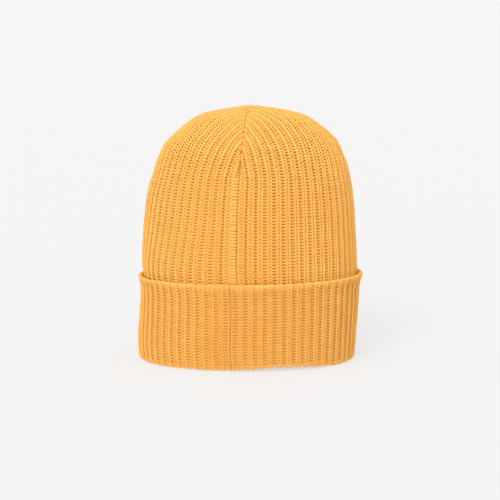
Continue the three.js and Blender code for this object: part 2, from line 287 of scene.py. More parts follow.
SEAM_SHADE_REACH = 0.24  # ribs from the back seam to where its painted shade ends
CUFF_SEAM_GAP = 0.012  # ribs to each side that the yarn stays off the cuff's seam
CUFF_GROOVE_REACH = 0.13  # ribs to each side
CUFF_GROOVE_SHARE = 0.85  # depth of the cuff's seam, as a share of the crown's
SEAM_CLOSING = 0.8  # how far the furrows beside the back seam are closed up, from 0 to 1
SEAM_CLOSING_REACH = 3.0  # ribs to each side
SEAM_HOLD = 0.3  # ribs beside the back seam over which nothing moves
FAN = 0.9  # ribs by which the ribs left of the back seam spread towards the cuff
FAN_REACH = 18  # ribs from the back seam
FAN_HEIGHTS = (0.34, 0.63)  # shares of the hat's height between which they spread
GORE_CLOSING = 0.65  # how far the furrows between the darts are closed up
GORE_YARN_GROWTH = 0.12  # how much fuller the yarn lies between the darts
CLOSED_DEPTH = 0.5  # how much deeper a furrow gets as it closes up
GORE_CLOSING_SHARE = 0.7  # share of the darts' depth over which they close up
FLARE_DEPTH = 9 * MM  # from the hem down to where the cuff's flare starts

# The way of the yarn across one stitch, from the middle of a rib to the middle of the furrow beside it.
# Across is in ribs, up is a share of the stitch's height, into is a share of the furrow's depth, and thick
# is a share of the yarn's thickness.
YarnStep = namedtuple("YarnStep", "across up into thick")
STITCH = (
    YarnStep(0.0, -0.5, 0.55, 0.78),
    YarnStep(0.08, -0.36, 0.25, 0.84),
    YarnStep(0.18, 0.06, 0.0, 0.87),
    YarnStep(0.28, 0.46, 0.15, 0.93),
    YarnStep(0.37, 0.44, 0.65, 1.05),
    YarnStep(0.5, 0.3, 1.0, 1.14),
)
YARN_SIDES = 6
STRAY_LIMIT = 2  # how many times the unevenness a stitch may stray
GORE_SEED, CUFF_SEED = 100, 200  # added to the seed
SHORTEST_STEP = 0.2  # the least share of a step that the yarn takes to meet a dart

HIDDEN_ROWS = 9 * MM  # how far down behind the cuff the crown's rows go on
CUFF_YARN_SHARE = 0.8  # thickness of the stretched yarn on the cuff, as a share of the crown's
CUFF_DEPTH_SHARE = 1.15  # depth of the cuff's furrows, as a share of the crown's
HEM_CLIMB = 0.75  # how far the yarn climbs at the hem, as a share of the others
HEM_RELIEF = 0.62  # depth of the furrows at the hem, as a share of the others
HEM_YARN_SHARE = 0.85  # thickness of the yarn at the hem, as a share of the crown's
HEM_ROW_SHARE = 0.62  # height of a row at the hem, as a share of the others
HEM_BEND = 1.5 * MM  # radius on which the yarn goes over the hem
HEM_ROLL = 4 * MM  # from the top of the hem to where the knit is as on the rest of the cuff
HEM_ROW_REACH = 5.2 * MM  # the same for the height of the rows
HEM_BACK = 6 * MM  # how far down behind the hem the knit goes
JOIN_HEIGHT = 9 * MM  # where the turned-up knit's rows end, inside the hat
TABLE_GAP = 0.02 * MM

WALL_COLUMNS = 8  # per rib
WALL_DEPTH = 1.15 * MM  # from the yarn on a rib down to the wall
FURROW_WALL_DEPTH = 2.05 * MM
HEM_BACK_DEPTH = 0.4 * MM  # how deep the wall of the layer behind the hem lies
CUFF_WALL_SINK = 0.4 * MM  # how much deeper the cuff's wall lies than the crown's
CUFF_SEAM_DEPTH = 0.7 * MM  # how much deeper the cuff's wall is at the seam
WALL_THICKNESS = 1.0 * MM
CUFF_WALL_GAP = 0.1 * MM  # from the middle between the cuff's layers to the back of its wall
CUFF_WALL_BACK = 9 * MM  # from the hem down to where the back of the cuff's wall ends

# How finely the knit is worked out. The steps of the cuff's way are those behind the hem, over it, down the
# face, round the fold and up inside the hat.
BODY_PLACES = 1600
CROWN_PLACES = 90
GORE_PLACES = 80
WALL_ROWS = 64
ANGLE_TRIES = 6  # rounds of a search that are near enough
RIB_TRIES = 8
BACK_STEPS, BEND_STEPS, FACE_STEPS, FOLD_STEPS, INSIDE_STEPS = 8, 12, 60, 20, 5
HEM_STEP = BACK_STEPS + BEND_STEPS // 2 - 1  # the step at the top of the hem
WALL_STEP = 2  # the cuff's wall takes each second step

# The bake map. Its heights go from 0 to 1. The crown's wall has its outside in the lower half, with the rim
# that joins both sides at the top of that half, and its inside in the upper half.
BAKE_MAP = "OFBake"
STRIP_EDGE = 0.04  # share of a row's strip that is left bare at each side
END_WIDTH, END_HEIGHT = 0.0004, 0.4  # half the size of a yarn's end, the height as a share of its strip
SKIN_TOP, TIP_TOP, INSIDE_LOW = 0.49, 0.495, 0.5
RIM_LOW, RIM_TOP = 0.494, 0.498

# The finish of the knit. A noise has its scale, in swings for each metre, and its detail.
SLOW_TONES = (28.0, 2.0)
QUICK_TONES = (900.0, 1.0)
SLOW_SHARE = 0.6
HAIRS = (2600.0, 2.0)
DULLNESS = (600.0, 1.0)
ROUGHNESS = 0.86
DULLNESS_SHARE = 0.1  # how far the roughness goes up
GLOSS, SHEEN_ROUGHNESS = 0.15, 0.45
PLY_TURNS = 9.0  # per rib
PLIES = 3.0  # round the yarn
PLY_BUMP, YARN_HAIR_BUMP, YARN_RELIEF = 0.35, 0.8, 0.16 * MM
STITCH_BUMP, WALL_HAIR_BUMP, WALL_RELIEF = 0.6, 0.2, 0.7 * MM
WALL_ZIGZAG = 1.2  # how far the wall's stitches climb to a furrow, in rows
WALL_STITCHES = 200  # rows of stitches on the whole height of the crown wall's bake map

# The stage, with its key light and its view.
WHITE = (1.0, 1.0, 1.0, 1.0)
FLOOR_REACH = 15.0
FLOOR_ROUGHNESS, FLOOR_GLOSS = 0.9, 0.1
KEY_SPREAD = math.radians(40)
KEY_TOWARDS = Vector((-0.19, -0.95, 0.52))
VIEW_MIDDLE = Vector((0, 0, 0.1))
VIEW_AIM = Vector((0.0003, 0, 0.0891))
SENSOR_WIDTH = 36
VIEW_END = 40


def smoothstep(value, start, end):
    share = np.clip((value - start) / (end - start), 0.0, 1.0)
    return share * share * (3.0 - 2.0 * share)


def between(start, end, share):
    return start + (end - start) * share


def fade(share):
    """How much of a dent, lift or groove is left at a share of its reach from its middle."""
    return np.clip(1.0 - np.square(share), 0.0, None) ** 2


def degrees_from(angle, middle):
    return (np.degrees(angle) - middle + 180) % 360 - 180


def unit(vectors):
    return vectors / np.maximum(np.linalg.norm(vectors, axis=-1, keepdims=True), TINY)


def grid(first_count, second_count):
    """Both numbers of each place of a grid."""
    return np.indices((first_count, second_count)).reshape(2, -1)


def round_ellipse(half_width, half_depth, seam, share):
    """The angle from the back at a share of the way round an ellipse from its seam."""
    spread = (half_width**2 - half_depth**2) / (half_width**2 + half_depth**2)
    twice = spread / 4 / (1 - spread**2 / 16)
    four_times = spread**2 / 64 / (1 - spread**2 / 16)

    def drift(angle):
        return twice * np.sin(2 * angle) - four_times * np.sin(4 * angle)

    goal = seam + drift(seam) + 2 * math.pi * share
    angle = goal
    for _ in range(ANGLE_TRIES):
        angle = goal - drift(angle)
    return angle


class Body:
    """The middle of the crown's knit, as a surface over a place along the sections and a share of the way
    round from the back seam."""

    def __init__(self, scene):
        self.shape = shape = scene.beanie_shape
        self.knit = scene.beanie_knit
        self.colours = scene.beanie_colours
        self.width = CROWN_HIGH.x - CROWN_LOW.x
        self.top_height = CROWN_HIGH.z
        self.hem = CUFF_HIGH.z - shape.hem_slope / 2
        self.sections = self.measured_sections()
        self.top = len(self.sections) - 2
        self.places = np.linspace(0, self.top, BODY_PLACES)
        self.heights, half_width, half_depth, _ = self.section(self.places)
        run = np.diff(half_width + half_depth) / 2
        steps = np.hypot(run, np.diff(self.heights))
        self.lengths = np.concatenate([[0.0], np.cumsum(steps)])
        self.dart_end = self.at_height(self.top_height - shape.dart_depth)
        self.dart_end_length = self.length_at(self.dart_end)
        both = half_width**2 + half_depth**2
        spread = (half_width**2 - half_depth**2) / np.maximum(both, TINY)
        self.rounds = 2 * math.pi * np.sqrt(both / 2) * (1 - spread**2 / 16)
        self.ribs = self.knit.ribs + self.knit.seam_rib
        dart_end_round = np.interp(self.dart_end, self.places, self.rounds)
        self.half_gores = self.ribs / DARTS / 2 * np.minimum(self.rounds / dart_end_round, 1.0)

    def measured_sections(self):
        """Sections in metres, and one past the top that mirrors the last but one, so the top is level."""
        rows = [(row, row.rise * self.hem) for row in CUFFED_SECTIONS]
        rows += [(row, self.hem + row.rise * (self.top_height - self.hem)) for row in CROWN_SECTIONS]
        half_width = self.width / 2 - self.shape.rib_relief
        half_depth = (CROWN_HIGH.y - CROWN_LOW.y) / 2 - self.shape.rib_relief
        sections = [
            (height, row.width * half_width, row.depth * half_depth, row.lean * self.width)
            for row, height in rows
        ]
        height, width, depth, lean = sections[-2]
        return np.array(sections + [(height, -width, -depth, lean)])

    def section(self, place):
        """Height, half width, half depth and lean on a smooth curve through the sections."""
        row = np.clip(np.floor(place).astype(int), 0, self.top - 1)
        share = (place - row)[..., None]
        before, start = self.sections[np.maximum(row - 1, 0)], self.sections[row]
        end, after = self.sections[row + 1], self.sections[row + 2]
        square, cube = share**2, share**3
        values = (
            (2 * cube - 3 * square + 1) * start
            + (cube - 2 * square + share) * (end - before) / 2
            + (3 * square - 2 * cube) * end
            + (cube - square) * (after - start) / 2
        )
        return np.moveaxis(values, -1, 0)

    def at_height(self, height):
        return np.interp(height, self.heights, self.places)

    def length_at(self, place):
        return np.interp(place, self.places, self.lengths)

    def place_at(self, length):
        return np.interp(length, self.lengths, self.places)

    def half_gore_at(self, place):
        """Ribs from the middle of a gore to its seam."""
        return np.interp(place, self.places, self.half_gores)

    def ribs_at(self, share, gore, half_gore):
        """Ribs from the back seam at a share of the way round, in a gore with so many ribs to each side."""
        return (gore + 0.5) * self.ribs / DARTS + (share * DARTS - gore - 0.5) * 2 * half_gore

    def gore_end(self, ribs):
        """The place where a rib this far from the middle of its gore runs into the dart."""
        above = self.places >= self.dart_end
        return np.interp(-np.abs(ribs), -self.half_gores[above], self.places[above])

    def dart_share(self, place, depth_share=1.0):
        """From 0 at the ends of the darts to 1 at a share of their depth above."""
        end = self.dart_end_length + self.shape.dart_depth * depth_share
        return smoothstep(self.length_at(place), self.dart_end_length, end)

    def gore_share(self, place):
        """From 0 at the ends of the darts to 1 where the knit between them is closed up most."""
        return self.dart_share(place, GORE_CLOSING_SHARE)

    def off_top(self, place):
        """From 0 at the top, where the darts meet, to 1 some way below it."""
        return smoothstep(self.lengths[-1] - self.length_at(place), *TOP_REACH)

    def sunk_at(self, place, off_seam, back_seam):
        """How deep the knit lies in a dart's valley or the back seam's groove. Off_seam is how far the
        nearest dart is, in ribs, and back_seam is how far the back seam is."""
        valley = self.shape.dart_valley * self.dart_share(place, DART_GROWTH)
        groove = self.shape.seam_groove * fade(back_seam / GROOVE_REACH)
        return (valley * fade(off_seam / VALLEY_REACH) + groove) * self.off_top(place)

    def dent_at(self, angle, height):
        depth = 0.0
        for dent in DENTS:
            across = degrees_from(angle, dent.azimuth) / dent.reach_round
            up = (height / self.top_height - dent.rise) / dent.reach_up
            depth = depth + dent.depth * fade(np.hypot(across, up))
        return depth * self.width

    def fold_lift_at(self, angle):
        lift = 0.0
        for row in FOLD_LIFTS:
            lift = lift + row.lift * fade(degrees_from(angle, row.azimuth) / row.reach_round)
        return lift * self.hem

    def point(self, place, share, turn=0.0, outward=0.0):
        height, half_width, half_depth, lean = self.section(place)
        half_width = half_width + outward
        half_depth = half_depth + outward
        angle = round_ellipse(half_width, half_depth, self.shape.seam_turn + turn, share)
        lobe = np.cos(2 * math.pi * DARTS * share) * half_width / (self.width / 2)
        swell = -self.shape.gore_swell * lobe * self.dart_share(place)
        swell = swell - self.dent_at(angle, height)
        return np.stack(
            [
                lean + (half_width + swell) * np.sin(angle),
                -(half_depth + swell) * np.cos(angle),
                height + 0 * angle,
            ],
            axis=-1,
        )


class Cloth:
    """Points of the knit on a grid: a column for each place that the yarn passes, and rows up each column.
    Facing is 1 where up and to the right make the outside, -1 where the knit is turned over."""

    def __init__(self, points, facing=1):
        self.points = points
        steps = np.linalg.norm(np.diff(points, axis=1), axis=2)
        self.lengths = np.pad(np.cumsum(steps, axis=1), ((0, 0), (1, 0)))
        across = np.gradient(points, axis=0)
        up = np.gradient(points, axis=1)
        self.normals = facing * unit(np.cross(across, up))

    def moved(self, lift):
        """The same knit with each point moved out, still facing the way it did."""
        cloth = Cloth(self.points + self.normals * lift[..., None])
        cloth.normals = self.normals
        return cloth

    def at(self, lengths):
        """Points and normals at a length up each column, for an array of rows by columns."""
        values = np.concatenate([self.points, self.normals], axis=2)
        found = np.empty(lengths.shape + (values.shape[2],))
        for column, known in enumerate(self.lengths):
            for axis in range(values.shape[2]):
                found[:, column, axis] = np.interp(lengths[:, column], known, values[column, :, axis])
        return found[..., :3], unit(found[..., 3:])


class Skein:
    """Collects the tubes of yarn of one piece, with a strip of the bake map for each row."""

    def __init__(self, rows):
        self.rows = rows
        self.points = []
        self.faces = []
        self.marks = []
        self.count = 0

    def lay(self, path, normals, radii, along, row):
        """Adds one tube. Along is how far round the hat each of its points is, from 0 to 1."""
        forward = unit(np.gradient(path, axis=0))
        out = unit(normals - forward * np.sum(normals * forward, axis=1, keepdims=True))
        side = np.cross(forward, out)
        turns = 2 * math.pi * np.arange(YARN_SIDES) / YARN_SIDES
        ring = out[:, None] * np.cos(turns)[:, None] + side[:, None] * np.sin(turns)[:, None]
        points = path[:, None] + radii[:, None, None] * ring
        steps, sides = grid(len(path) - 1, YARN_SIDES)
        corners = [(steps, sides), (steps, sides + 1), (steps + 1, sides + 1), (steps + 1, sides)]
        quads = np.stack([step * YARN_SIDES + turn % YARN_SIDES for step, turn in corners], axis=1)
        marks = np.stack(
            [np.stack([along[step], self.strip(row, turn / YARN_SIDES)], axis=1) for step, turn in corners],
            axis=1,
        )
        self.faces += list(self.count + quads)
        self.marks += list(marks)
        ends = np.arange(YARN_SIDES)
        for face, place, nudge in (
            (ends[::-1], along[0], -1),
            (ends + (len(path) - 1) * YARN_SIDES, along[-1], 1),
        ):
            self.faces.append(self.count + face)
            across = place + nudge * END_WIDTH * (1 + np.sin(turns))
            up = self.strip(row, 0.5 + END_HEIGHT * np.cos(turns))
            self.marks.append(np.stack([across, up], axis=1))
        self.points.append(points.reshape(-1, 3))
        self.count += points.shape[0] * YARN_SIDES

    def wound_off(self, name):
        """Makes the piece."""
        return build_mesh(name, np.concatenate(self.points), self.faces, self.marks)

    def strip(self, row, share):
        return (row + between(STRIP_EDGE, 1 - STRIP_EDGE, share)) / self.rows


def add_object(name, data, towards=None):
    """Adds an object to the scene, turned so that its own Z points towards a direction if there is one."""
    added = bpy.data.objects.new(name, data)
    bpy.context.scene.collection.objects.link(added)
    if towards is not None:
        added.rotation_mode = "QUATERNION"
        added.rotation_quaternion = towards.to_track_quat("Z", "Y")
    return added


def build_mesh(name, points, faces, marks):
    """A smooth mesh piece, pressed flat where it rests on the table. Marks are its bake map, a pair for each
    corner of its faces."""
    mesh = bpy.data.meshes.new(name)
    points[:, 2] = np.maximum(points[:, 2], TABLE_GAP)
    sizes = np.array([len(face) for face in faces])
    starts = np.concatenate([[0], np.cumsum(sizes)[:-1]])
    mesh.vertices.add(len(points))
    mesh.vertices.foreach_set("co", np.ascontiguousarray(points, np.float32).ravel())
    mesh.loops.add(int(sizes.sum()))
    mesh.loops.foreach_set("vertex_index", np.concatenate(faces).astype(np.int32))
    mesh.polygons.add(len(faces))
    mesh.polygons.foreach_set("loop_start", starts.astype(np.int32))
    mesh.update(calc_edges=True)
    mesh.shade_smooth()
    layer = mesh.uv_layers.new(name=BAKE_MAP)
    layer.data.foreach_set("uv", np.concatenate(marks).astype(np.float32).ravel())
    if mesh.validate():
        raise RuntimeError(f"the mesh of {name} has faults")
    return add_object(name, mesh)


def dress(piece, node, material):
    piece.data.materials.append(material)
    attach(piece, BODY)
    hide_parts(node)


def stitch_places(ribs, first_rib, gap=0.0):
    """Where the yarn bends, in ribs, from one side of the seam round to the other."""
    steps = np.array([step.across for step in STITCH])
    one_rib = np.unique(np.round(np.concatenate([steps, 1 - steps[:-1]]), 6))[:-1]
    places = (np.arange(-1, math.ceil(ribs) + 1)[:, None] + one_rib).ravel() + first_rib
    clear = gap + SEAM_CLEARANCE
    inside = places[(places > clear) & (places < ribs - clear)]
    return np.concatenate([[gap], inside, [ribs - gap]])


def rib_numbers(knit, ribs):
    """Places on the crown in ribs from the back seam, counted so that each rib is at a whole number."""
    return np.clip(ribs - knit.first_rib, -0.5, knit.ribs - 0.5)


def furrow_wave(across):
    """From 0 on a rib to 1 in the furrow beside it."""
    return (1 - np.cos(2 * math.pi * across)) / 2


def close_up(across, closing):
    """How far the knit moves round the hat where its furrows close up. Across has a rib at each whole
    number."""
    return closing * np.sin(2 * math.pi * across) / (2 * math.pi)


def fanned_out(body, places, ribs):
    """How far the ribs to the left of the back seam spread towards the cuff, in ribs."""
    height = np.interp(places, body.places, body.heights) / body.top_height
    share = np.clip((body.ribs - ribs) / FAN_REACH, 0.0, 1.0)
    return -FAN * np.sin(math.pi * share) * (1 - smoothstep(height, *FAN_HEIGHTS))


def closing_at(body, places, back_seam):
    """How far the furrows are closed up. Back_seam is how far the back seam is, in ribs."""
    at_seam = SEAM_CLOSING * fade(back_seam / SEAM_CLOSING_REACH)
    return np.maximum(at_seam, GORE_CLOSING * body.gore_share(places))


def beside_seam(body, ribs):
    """From 0 to 1 where the knit lies flat along the left side of the back seam."""
    return smoothstep(ribs, body.ribs - FLAT_REACH, body.ribs - FLAT_REACH / 2)


def moved_round(body, places, ribs):
    """How far the knit below the darts moves round the hat, in ribs, as the ribs fan out and the furrows
    close up."""
    back_seam = np.minimum(ribs, body.ribs - ribs)
    closed = close_up(rib_numbers(body.knit, ribs), closing_at(body, places, back_seam))
    return closed * smoothstep(back_seam, 0.0, SEAM_HOLD) + fanned_out(body, places, ribs)


class Stitches:
    """The way of the yarn across some ribs. Across has a rib at each whole number."""

    def __init__(self, knit, across, rows, seed):
        known, *columns = np.array(STITCH).T
        sizes = (knit.stitch_height, knit.furrow_depth, knit.yarn_radius)
        off_rib = np.abs(across - np.round(across))
        self.up, self.into, self.radius = (
            np.interp(off_rib, known, column) * size for column, size in zip(columns, sizes)
        )
        random = np.random.default_rng(knit.seed + seed)
        self.stray_up, self.stray_out, self.stray_thick = (
            self.spread(random, across, rows) * knit.unevenness for _ in range(3)
        )

    def spread(self, random, across, rows):
        """A value for each stitch, blended from one stitch to the next."""
        low = np.floor(across).astype(int)
        share = smoothstep(across - low, 0.0, 1.0)
        values = random.normal(0.0, 1.0, (rows, low.max() - low.min() + 2))
        low = low - low.min()
        return np.clip(values[:, low] * (1 - share) + values[:, low + 1] * share, -STRAY_LIMIT, STRAY_LIMIT)


class Material:
    """A material's node tree."""

    def __init__(self, name):
        self.material = bpy.data.materials.new(name)
        self.material.use_nodes = True
        self.tree = self.material.node_tree
        self.tree.nodes.clear()

    def node(self, kind, settings=None, inputs=None, output=0):
        """Adds a node, sets it, then its sockets by name or number, and gives one of its outputs."""
        node = self.tree.nodes.new(kind)
        for name, value in (settings or {}).items():
            setattr(node, name, value)
        for key, value in (inputs or {}).items():
            if isinstance(value, Socket):
                self.tree.links.new(value.socket, node.inputs[key])
            else:
                node.inputs[key].default_value = value
        return Socket(self, node.outputs[output]) if len(node.outputs) else None

    def noise(self, scale, detail):
        place = self.node("ShaderNodeTexCoord", output="Object")
        inputs = {"Vector": place, "Scale": scale, "Detail": detail}
        return self.node("ShaderNodeTexNoise", {}, inputs, "Fac")

    def marks(self):
        """The bake map: how far round the hat, and how far up the rows."""
        marks = self.node("ShaderNodeUVMap", {"uv_map": BAKE_MAP})
        return [self.node("ShaderNodeSeparateXYZ", {}, {"Vector": marks}, axis) for axis in "XY"]

    def blend(self, share, first, second):
        """A colour between two."""
        return self.node("ShaderNodeMix", {"data_type": "RGBA"}, {0: share, 6: first, 7: second}, 2)

    def finish(self, inputs):
        """Gives the material a skin with these inputs."""
        skin = self.node("ShaderNodeBsdfPrincipled", {}, inputs)
        self.node("ShaderNodeOutputMaterial", {}, {"Surface": skin})
        return self.material


class Socket:
    """One output of a node. Arithmetic on it adds Math nodes."""

    def __init__(self, material, socket):
        self.material = material
        self.socket = socket

    def maths(self, operation, *values):
        return self.material.node("ShaderNodeMath", {"operation": operation}, dict(enumerate(values)))

    def __add__(self, other):
        return self.maths("ADD", self, other)

    __radd__ = __add__

    def __mul__(self, other):
        return self.maths("MULTIPLY", self, other)

    __rmul__ = __mul__

    def __sub__(self, other):
        return self.maths("SUBTRACT", self, other)

    def __rsub__(self, other):
        return self.maths("SUBTRACT", other, self)

    def wave(self):
        """A cosine that turns once for each whole number, from -1 to 1."""
        return self.maths("COSINE", self * (2 * math.pi))

    def part(self):
        """What is left over from a whole number."""
        return self.maths("FRACT", self)

    def size(self):
        return self.maths("ABSOLUTE", self)


def yarn_colour(material, colours):
    """The yarn's colour, with slow and quick changes of tone."""
    share = material.noise(*SLOW_TONES) * SLOW_SHARE + material.noise(*QUICK_TONES) * (1 - SLOW_SHARE)
    return material.blend(share, (*colours.shade, 1.0), (*colours.yarn, 1.0))


def knit_finish(material, colours, colour, bumps, hair_bump, relief):
    """Finishes the material of a knitted piece, with fine hairs over its bumps and a soft sheen."""
    height = bumps + material.noise(*HAIRS) * hair_bump
    return material.finish(
        {
            "Base Color": colour,
            "Roughness": ROUGHNESS + material.noise(*DULLNESS) * DULLNESS_SHARE,
            "Normal": material.node(
                "ShaderNodeBump", {}, {"Height": height, "Distance": relief, "Strength": 1.0}
            ),
            "Specular IOR Level": GLOSS,
            "Sheen Weight": colours.fluff_share,
            "Sheen Roughness": SHEEN_ROUGHNESS,
            "Sheen Tint": (*colours.fluff, 1.0),
        }
    )


def yarn_material(name, colours, ribs, rows, first_rib):
    """Soft plied yarn. Its plies wind round each tube by way of the bake map, and painted shade draws its
    colour towards the gap colour in the furrows and at the back seam."""
    material = Material(name)
    along, across = material.marks()
    plies = (along * (ribs * PLY_TURNS) + across * (rows * PLIES)).wave()
    # Painted shade: the yarn's colour goes towards the gap colour in the furrows and along the cleft of the
    # back seam.
    furrow = (0.5 - (along * ribs - first_rib).wave() * 0.5) * colours.furrow_shade_share
    off_seam = 0.5 - (along - 0.5).size()
    seam = 1 - off_seam * (ribs / SEAM_SHADE_REACH)
    painted_shade = furrow.maths("MAXIMUM", furrow, seam)
    colour = material.blend(painted_shade, yarn_colour(material, colours), (*colours.gap, 1.0))
    return knit_finish(material, colours, colour, plies * PLY_BUMP, YARN_HAIR_BUMP, YARN_RELIEF)


def wall_material(name, colours, ribs, rows, has_inside):
    """The knit behind the rows of yarn, in the gap colour as painted shade of the yarn in shadow behind
    them. An inside is on the upper half of the bake map, in the yarn's own colour and with bumps for
    stitches."""
    material = Material(name)
    along, across = material.marks()
    inside = across.maths("GREATER_THAN", across, INSIDE_LOW) if has_inside else 0.0
    off_furrow = ((along * ribs + 0.5).part() - 0.5).size()
    stitches = (across * rows + off_furrow * WALL_ZIGZAG).wave() * STITCH_BUMP * inside
    # Painted shade on the outside, while the inside keeps the yarn's own colour.
    colour = material.blend(inside, (*colours.gap, 1.0), yarn_colour(material, colours))
    return knit_finish(material, colours, colour, stitches, WALL_HAIR_BUMP, WALL_RELIEF)


def crown_cloth(body, places, share, off_seam, back_seam):
    """The knit of the crown at the height of the yarn on its ribs."""
    lift = body.knit.yarn_lift - body.sunk_at(places, off_seam, back_seam)
    return Cloth(body.point(places, share)).moved(lift)


def lengths_at(cloth, places, wanted):
    """The length up each column of a cloth at a place."""
    places = np.broadcast_to(places, cloth.lengths.shape)
    wanted = np.broadcast_to(wanted, len(places))
    return np.array([np.interp(*column) for column in zip(wanted, places, cloth.lengths)])


def at_lengths(wanted, known, values):
    """Values up each column at the lengths of an array of rows by columns, from those that are known."""
    return np.array([np.interp(*column) for column in zip(wanted.T, known, values)]).T


def lay_rows(name, cloth, stitches, lengths, along):
    """Makes a piece of whole rows of yarn on a cloth. Lengths is where each row is up each column."""
    paths, normals = cloth.at(lengths + stitches.up + stitches.stray_up)
    lifts = stitches.stray_out - stitches.into
    radii = stitches.radius + stitches.stray_thick / 2
    skein = Skein(len(lengths))
    for row, (path, normal, lift, radius) in enumerate(zip(paths, normals, lifts, radii)):
        skein.lay(path + normal * lift[:, None], normal, radius, along, row)
    return skein.wound_off(name)


def knit_crown_rows(scene):
    """The rows from behind the cuff to the ends of the darts, in two pieces."""
    body = Body(scene)
    knit = body.knit
    ribs = stitch_places(body.ribs, knit.first_rib)
    low = body.at_height(body.hem - HIDDEN_ROWS)
    high = body.place_at(body.dart_end_length + 2 * knit.stitch_height)
    places = np.linspace(low, high, CROWN_PLACES)[None, :]
    gore = body.ribs / DARTS
    off_seam = np.abs((ribs + gore / 2) % gore - gore / 2)
    back_seam = np.minimum(ribs, body.ribs - ribs)
    share = (ribs[:, None] + moved_round(body, places, ribs[:, None])) / body.ribs
    cloth = crown_cloth(body, places, share, off_seam[:, None], back_seam[:, None])
    start = lengths_at(cloth, places, body.dart_end)
    rows = int((start.min() - knit.stitch_height) / knit.crown_row)
    lengths = start - (np.arange(rows)[:, None] + 0.5) * knit.crown_row
    deeper = 1 + CLOSED_DEPTH * closing_at(body, body.dart_end, back_seam)
    flat = beside_seam(body, ribs)
    half = rows // 2
    for name, first, last in (("crown_upper_rows", 0, half), ("crown_lower_rows", half, rows)):
        stitches = Stitches(knit, rib_numbers(knit, ribs), last - first, first)
        stitches.into = stitches.into * deeper * (1 - FLAT_SHARE * flat)
        stitches.radius = stitches.radius * (1 + FLAT_GROWTH * flat)
        piece = lay_rows(name, cloth, stitches, lengths[first:last], ribs / body.ribs)
        material = yarn_material(name, body.colours, body.ribs, last - first, knit.first_rib)
        dress(piece, "crown", material)


def knit_gore_rows(scene):
    """The rows between the darts. Each ends on the darts to its left and right."""
    body = Body(scene)
    knit = body.knit
    gore_ribs = body.ribs / DARTS
    start = body.place_at(body.dart_end_length - 2 * knit.stitch_height)
    summit = body.top - LAST_ROW
    rows = int((body.length_at(summit) - body.dart_end_length) / knit.crown_row)
    skein = Skein(rows)
    all_ribs = stitch_places(body.ribs + 2, knit.first_rib + 1) - 1
    for gore in range(DARTS):
        middle = (gore + 0.5) * gore_ribs
        ribs = all_ribs[np.abs(all_ribs - middle) < gore_ribs / 2 + PAST_GORE]
        across = rib_numbers(knit, ribs)
        off_middle = ribs - middle
        at_back = (gore == 0) & (off_middle < 0) | (gore == DARTS - 1) & (off_middle > 0)
        from_back = np.where(at_back, gore_ribs / 2 - np.abs(off_middle), np.inf)
        seam = body.gore_end(off_middle)
        seam = body.gore_end(off_middle + close_up(across, closing_at(body, seam, from_back)))
        end = np.minimum(seam + PAST_DART, summit)
        places = start + (end - start)[:, None] * np.linspace(0, 1, GORE_PLACES)
        closing = closing_at(body, places, from_back[:, None])
        settled = smoothstep(np.maximum(from_back, 0.0), 0.0, SEAM_HOLD)[:, None]
        off_middle = off_middle[:, None] + settled * close_up(across[:, None], closing)
        half_gore = body.half_gore_at(places)
        share = (gore + 0.5 + off_middle / (2 * half_gore)) / DARTS
        off_seam = half_gore - np.abs(off_middle)
        back_seam = np.where(at_back[:, None], off_seam, 1.0)
        cloth = crown_cloth(body, places, share, off_seam, back_seam)
        zero = lengths_at(cloth, places, body.dart_end)
        room = lengths_at(cloth, places, np.minimum(seam, summit)) - zero
        stitches = Stitches(knit, across, rows, GORE_SEED + gore)
        wanted = (np.arange(rows)[:, None] + 0.5) * knit.crown_row + stitches.up + stitches.stray_up
        paths, normals = cloth.at(zero + wanted)
        known = cloth.lengths - zero[:, None]
        deep = stitches.into * (1 + CLOSED_DEPTH * at_lengths(wanted, known, closing))
        paths += normals * (stitches.stray_out - deep)[..., None]
        above = at_lengths(wanted, known, body.gore_share(places))
        full = stitches.radius * (1 + GORE_YARN_GROWTH * above)
        radii = full + stitches.stray_thick / 2
        for row in range(rows):
            left_over = room - wanted[row]
            run = run_to_seams(left_over, len(ribs) // 2)
            if run is None:
                continue
            values = np.column_stack([paths[row], normals[row], radii[row], ribs / body.ribs])
            values = cut_to_seams(values, left_over, *run)
            along = np.clip(values[:, 7], 0.0, 1.0)
            skein.lay(values[:, :3], unit(values[:, 3:6]), values[:, 6], along, row)
    material = yarn_material("crown_gore_rows", body.colours, body.ribs, rows, knit.first_rib)
    dress(skein.wound_off("crown_gore_rows"), "crown", material)


def run_to_seams(room, middle):
    """The first and last places of a row that still have room below the darts, or None."""
    outside = np.flatnonzero(room <= 0)
    left = outside[outside < middle]
    right = outside[outside > middle]
    first = left[-1] + 1 if len(left) else 0
    last = right[0] - 1 if len(right) else len(room) - 1
    return (first, last) if last - first > 1 and room[middle] > 0 else None


def cut_to_seams(values, room, first, last):
    """The values of a row between two darts, with the values where it meets each of them."""
    rows = [values[first : last + 1]]
    for inside, outside, at_start in ((first, first - 1, True), (last, last + 1, False)):
        if not 0 <= outside < len(values):
            continue
        share = room[inside] / (room[inside] - room[outside])
        met = values[inside] + share * (values[outside] - values[inside])
        if share > SHORTEST_STEP:
            rows = [met[None], *rows] if at_start else [*rows, met[None]]
    return np.concatenate(rows)


